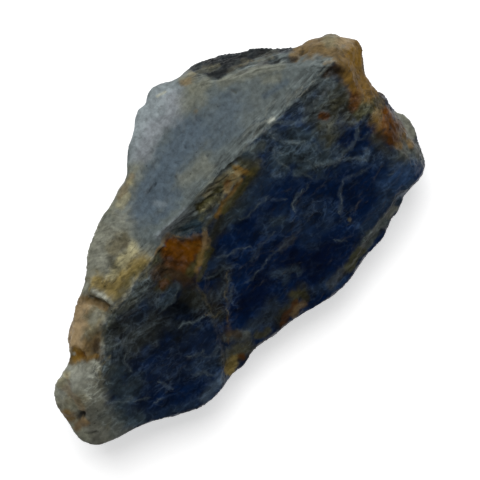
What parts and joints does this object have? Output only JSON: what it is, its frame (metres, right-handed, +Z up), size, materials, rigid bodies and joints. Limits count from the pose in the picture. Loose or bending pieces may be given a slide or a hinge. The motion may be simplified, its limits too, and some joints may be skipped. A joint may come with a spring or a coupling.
{
  "type": "rough sapphire",
  "caption": "Rough blue sapphire: an opaque, weathered, broken crystal with a long crest, a grey face, a deep blue face and rust stains, lying on a flat parting face.",
  "frame": {"origin": "middle of the stone's plan box, on the surface that it lies on", "axes": "+X along the stone towards its ochre end, +Y towards the grey face, +Z up from the flat face that it lies on"},
  "size_m": [0.042, 0.0238, 0.0128],
  "materials": {
    "sapphire": "weathered broken crystal, satin"
  },
  "bodies": {
    "root": {"sapphire": "sapphire"}
  },
  "joints": []
}
